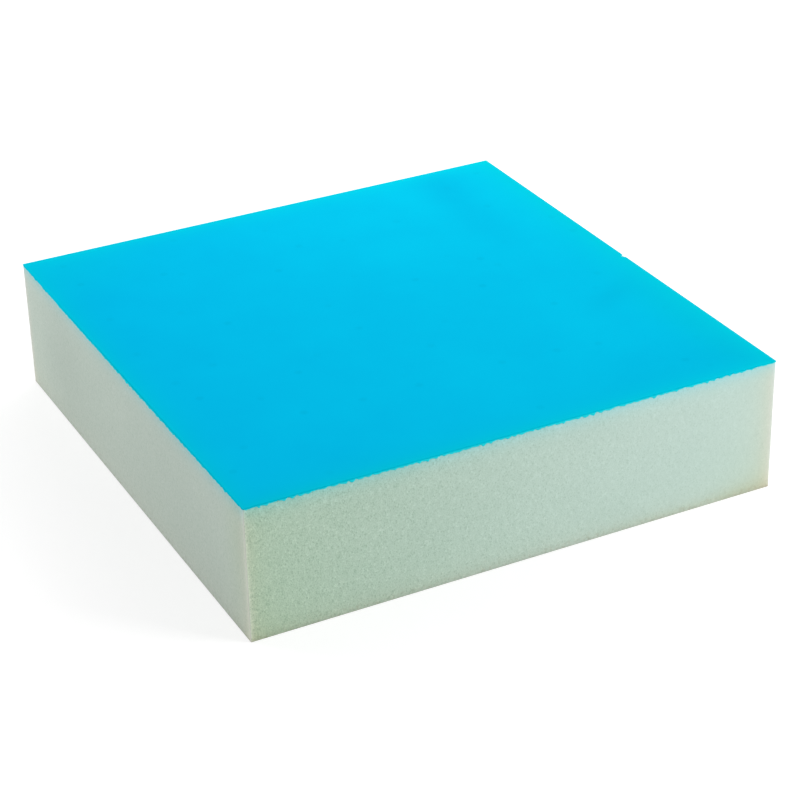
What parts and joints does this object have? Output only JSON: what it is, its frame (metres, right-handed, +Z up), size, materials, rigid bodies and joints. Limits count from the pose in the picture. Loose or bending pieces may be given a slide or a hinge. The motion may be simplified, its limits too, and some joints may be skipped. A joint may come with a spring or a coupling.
{
  "type": "cleaning sponge",
  "caption": "Square pad of fine-celled foam with a thin smooth plastic sheet bonded over its top face, for wiping and cleaning surfaces by hand.",
  "frame": {"origin": "centre of the underside, on the surface that the pad rests on", "axes": "+Z up out of the sheet, +X along the front edge to the right, +Y from front to back"},
  "size_m": [0.1, 0.102, 0.025],
  "materials": {
    "foam": "fine open-celled foam, cut with a blade, pale mint green and matt",
    "sheet": "smooth satin film, bright cyan blue"
  },
  "bodies": {
    "root": {"foam_block": "foam", "face_sheet": "sheet"}
  },
  "joints": []
}
